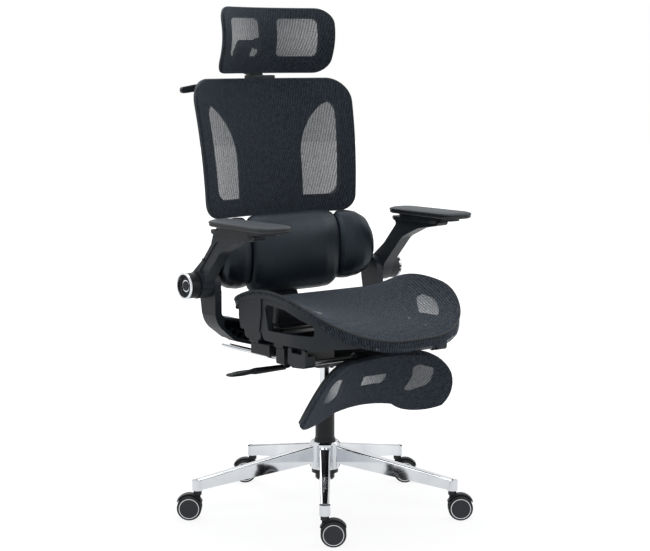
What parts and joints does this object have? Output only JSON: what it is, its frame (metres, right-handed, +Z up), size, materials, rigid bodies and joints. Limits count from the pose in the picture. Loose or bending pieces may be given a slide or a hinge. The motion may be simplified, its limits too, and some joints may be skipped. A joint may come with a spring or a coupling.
{
  "type": "reclining office chair with footrest",
  "caption": "High-backed mesh office chair with a reclining back, split lumbar pads, flip-up arms, headrest, coat bar, stowed pull-out footrest and polished star base on casters.",
  "frame": {"origin": "floor plane under the gas lift's axis", "axes": "+Z up along the lift, -Y the way the sitter faces, +X the sitter's left"},
  "size_m": [0.7201, 0.716, 1.243],
  "materials": {
    "chrome": "mirror polished",
    "black_steel": "satin powder coat",
    "steel": "turned",
    "charcoal_mesh": "open weave, matte",
    "black_leather": "smooth coated, soft sheen",
    "soft_pad": "soft foam skin, fine grain",
    "wheel_nylon": "moulded, matte",
    "grey_plastic": "moulded, fine spark texture"
  },
  "bodies": {
    "base": {"star_base": "chrome", "hub_collar": "grey_plastic", "retaining_clip": "black_steel", "gas_lift_tube": "black_steel"},
    "caster_1": {"caster_hood_1": "grey_plastic"},
    "wheel_1a": {"caster_wheel_1a": "wheel_nylon"},
    "wheel_1b": {"caster_wheel_1b": "wheel_nylon"},
    "caster_2": {"caster_hood_2": "grey_plastic"},
    "wheel_2a": {"caster_wheel_2a": "wheel_nylon"},
    "wheel_2b": {"caster_wheel_2b": "wheel_nylon"},
    "caster_3": {"caster_hood_3": "grey_plastic"},
    "wheel_3a": {"caster_wheel_3a": "wheel_nylon"},
    "wheel_3b": {"caster_wheel_3b": "wheel_nylon"},
    "caster_4": {"caster_hood_4": "grey_plastic"},
    "wheel_4a": {"caster_wheel_4a": "wheel_nylon"},
    "wheel_4b": {"caster_wheel_4b": "wheel_nylon"},
    "caster_5": {"caster_hood_5": "grey_plastic"},
    "wheel_5a": {"caster_wheel_5a": "wheel_nylon"},
    "wheel_5b": {"caster_wheel_5b": "wheel_nylon"},
    "lift": {"gas_lift_stem": "chrome"},
    "chassis": {"mechanism_housing": "black_steel", "mounting_plate": "black_steel", "recline_shaft": "steel", "cross_beams": "grey_plastic", "rod_guides": "grey_plastic", "seat_frame": "grey_plastic", "seat_mesh": "charcoal_mesh"},
    "tension_knob": {"tension_knob": "grey_plastic"},
    "lever_pivot": {"lever_bush": "grey_plastic"},
    "lever": {"lever_rod": "black_steel", "lever_grip": "grey_plastic"},
    "foot_slide": {"footrest_rods": "chrome", "footrest_crossbar": "chrome", "footrest_corners": "grey_plastic"},
    "foot_pad": {"footrest_bracket": "grey_plastic", "footrest_frame": "grey_plastic", "footrest_mesh": "charcoal_mesh"},
    "back": {"cradle": "grey_plastic", "spine_column": "grey_plastic", "back_panel": "grey_plastic", "back_frame": "grey_plastic", "back_mesh": "charcoal_mesh", "neck_bracket": "grey_plastic", "coat_hanger": "grey_plastic", "lumbar_bracket": "grey_plastic", "back_pivot_pins": "steel", "arm_caps": "grey_plastic", "arm_cap_rings": "chrome"},
    "lumbar": {"lumbar_shell": "grey_plastic", "lumbar_pad_centre": "black_leather", "lumbar_pads_side": "black_leather"},
    "neck": {"neck": "grey_plastic"},
    "headrest": {"headrest_frame": "grey_plastic", "headrest_mesh": "charcoal_mesh"},
    "arm_left": {"arm_post_left": "grey_plastic"},
    "slide_left": {"arm_slide_plate_left": "grey_plastic"},
    "pad_left": {"arm_pad_left": "soft_pad"},
    "arm_right": {"arm_post_right": "grey_plastic"},
    "slide_right": {"arm_slide_plate_right": "grey_plastic"},
    "pad_right": {"arm_pad_right": "soft_pad"}
  },
  "joints": [
    {"name": "caster_swivel_1", "type": "hinge", "parent": "base", "child": "caster_1", "pos_m": [-0.20132, -0.25768, 0.08], "axis": [0, 0, 1], "continuous": true},
    {"name": "wheel_roll_1a", "type": "hinge", "parent": "caster_1", "child": "wheel_1a", "pos_m": [-0.18556, -0.26999, 0.03], "axis": [0.6157, 0.788, 0], "continuous": true},
    {"name": "wheel_roll_1b", "type": "hinge", "parent": "caster_1", "child": "wheel_1b", "pos_m": [-0.18556, -0.26999, 0.03], "axis": [0.6157, 0.788, 0], "continuous": true},
    {"name": "caster_swivel_2", "type": "hinge", "parent": "base", "child": "caster_2", "pos_m": [0.18286, -0.27109, 0.08], "axis": [0, 0, 1], "continuous": true},
    {"name": "wheel_roll_2a", "type": "hinge", "parent": "caster_2", "child": "wheel_2a", "pos_m": [0.19862, -0.28341, 0.03], "axis": [0.6157, 0.788, 0], "continuous": true},
    {"name": "wheel_roll_2b", "type": "hinge", "parent": "caster_2", "child": "wheel_2b", "pos_m": [0.19862, -0.28341, 0.03], "axis": [0.6157, 0.788, 0], "continuous": true},
    {"name": "caster_swivel_3", "type": "hinge", "parent": "base", "child": "caster_3", "pos_m": [0.31433, 0.09013, 0.08], "axis": [0, 0, 1], "continuous": true},
    {"name": "wheel_roll_3a", "type": "hinge", "parent": "caster_3", "child": "wheel_3a", "pos_m": [0.33009, 0.07782, 0.03], "axis": [0.6157, 0.788, 0], "continuous": true},
    {"name": "wheel_roll_3b", "type": "hinge", "parent": "caster_3", "child": "wheel_3b", "pos_m": [0.33009, 0.07782, 0.03], "axis": [0.6157, 0.788, 0], "continuous": true},
    {"name": "caster_swivel_4", "type": "hinge", "parent": "base", "child": "caster_4", "pos_m": [0.01141, 0.3268, 0.08], "axis": [0, 0, 1], "continuous": true},
    {"name": "wheel_roll_4a", "type": "hinge", "parent": "caster_4", "child": "wheel_4a", "pos_m": [-0.00435, 0.33911, 0.03], "axis": [-0.6157, -0.788, 0], "continuous": true},
    {"name": "wheel_roll_4b", "type": "hinge", "parent": "caster_4", "child": "wheel_4b", "pos_m": [-0.00435, 0.33911, 0.03], "axis": [-0.6157, -0.788, 0], "continuous": true},
    {"name": "caster_swivel_5", "type": "hinge", "parent": "base", "child": "caster_5", "pos_m": [-0.30728, 0.11184, 0.08], "axis": [0, 0, 1], "continuous": true},
    {"name": "wheel_roll_5a", "type": "hinge", "parent": "caster_5", "child": "wheel_5a", "pos_m": [-0.32304, 0.12415, 0.03], "axis": [-0.6157, -0.788, 0], "continuous": true},
    {"name": "wheel_roll_5b", "type": "hinge", "parent": "caster_5", "child": "wheel_5b", "pos_m": [-0.32304, 0.12415, 0.03], "axis": [-0.6157, -0.788, 0], "continuous": true},
    {"name": "lift_height", "type": "slide", "parent": "base", "child": "lift", "axis": [0, 0, 1], "range_m": [-0.08, 0.02]},
    {"name": "seat_swivel", "type": "hinge", "parent": "lift", "child": "chassis", "pos_m": [0, 0, 0.38], "axis": [0, 0, 1], "continuous": true},
    {"name": "tension_turn", "type": "hinge", "parent": "chassis", "child": "tension_knob", "pos_m": [0, -0.076, 0.35], "axis": [0, 0, 1], "continuous": true},
    {"name": "lever_lift", "type": "hinge", "parent": "chassis", "child": "lever_pivot", "pos_m": [-0.076, 0, 0.388], "axis": [0, 1, 0], "range_deg": [0, 8], "stiffness_Nm_per_rad": 1.5, "springref_deg": -6.88},
    {"name": "lever_pull", "type": "slide", "parent": "lever_pivot", "child": "lever", "axis": [-1, 0, 0], "range_m": [0, 0.008]},
    {"name": "footrest_draw", "type": "slide", "parent": "chassis", "child": "foot_slide", "axis": [0, -1, 0], "range_m": [0, 0.235]},
    {"name": "footrest_turn", "type": "hinge", "parent": "foot_slide", "child": "foot_pad", "pos_m": [0, -0.19, 0.417], "axis": [-1, 0, 0], "range_deg": [0, 119.2]},
    {"name": "back_recline", "type": "hinge", "parent": "chassis", "child": "back", "pos_m": [0, 0.104, 0.436], "axis": [-1, 0, 0], "range_deg": [0, 25]},
    {"name": "lumbar_rock", "type": "hinge", "parent": "back", "child": "lumbar", "pos_m": [0, 0.178, 0.64], "axis": [-1, 0, 0], "range_deg": [-6, 6], "stiffness_Nm_per_rad": 60},
    {"name": "headrest_height", "type": "slide", "parent": "back", "child": "neck", "axis": [0, 0, 1], "range_m": [0, 0.04]},
    {"name": "headrest_tilt", "type": "hinge", "parent": "neck", "child": "headrest", "pos_m": [0, 0.259, 1.154], "axis": [-1, 0, 0], "range_deg": [-8, 20]},
    {"name": "arm_flip_left", "type": "hinge", "parent": "back", "child": "arm_left", "pos_m": [0.282, 0.127, 0.575], "axis": [-1, 0, 0], "range_deg": [0, 45]},
    {"name": "arm_slide_left", "type": "slide", "parent": "arm_left", "child": "slide_left", "axis": [0, -1, 0], "range_m": [-0.01, 0.03]},
    {"name": "arm_swivel_left", "type": "hinge", "parent": "slide_left", "child": "pad_left", "pos_m": [0.279, -0.071, 0.725], "axis": [0, 0, 1], "range_deg": [-10, 10]},
    {"name": "arm_flip_right", "type": "hinge", "parent": "back", "child": "arm_right", "pos_m": [-0.282, 0.127, 0.575], "axis": [-1, 0, 0], "range_deg": [0, 45]},
    {"name": "arm_slide_right", "type": "slide", "parent": "arm_right", "child": "slide_right", "axis": [0, -1, 0], "range_m": [-0.01, 0.03]},
    {"name": "arm_swivel_right", "type": "hinge", "parent": "slide_right", "child": "pad_right", "pos_m": [-0.279, -0.071, 0.725], "axis": [0, 0, 1], "range_deg": [-10, 10]}
  ],
  "couplings": [
    {"joint": "footrest_turn", "follows": "footrest_draw", "rad_per_m": 8.8524}
  ]
}
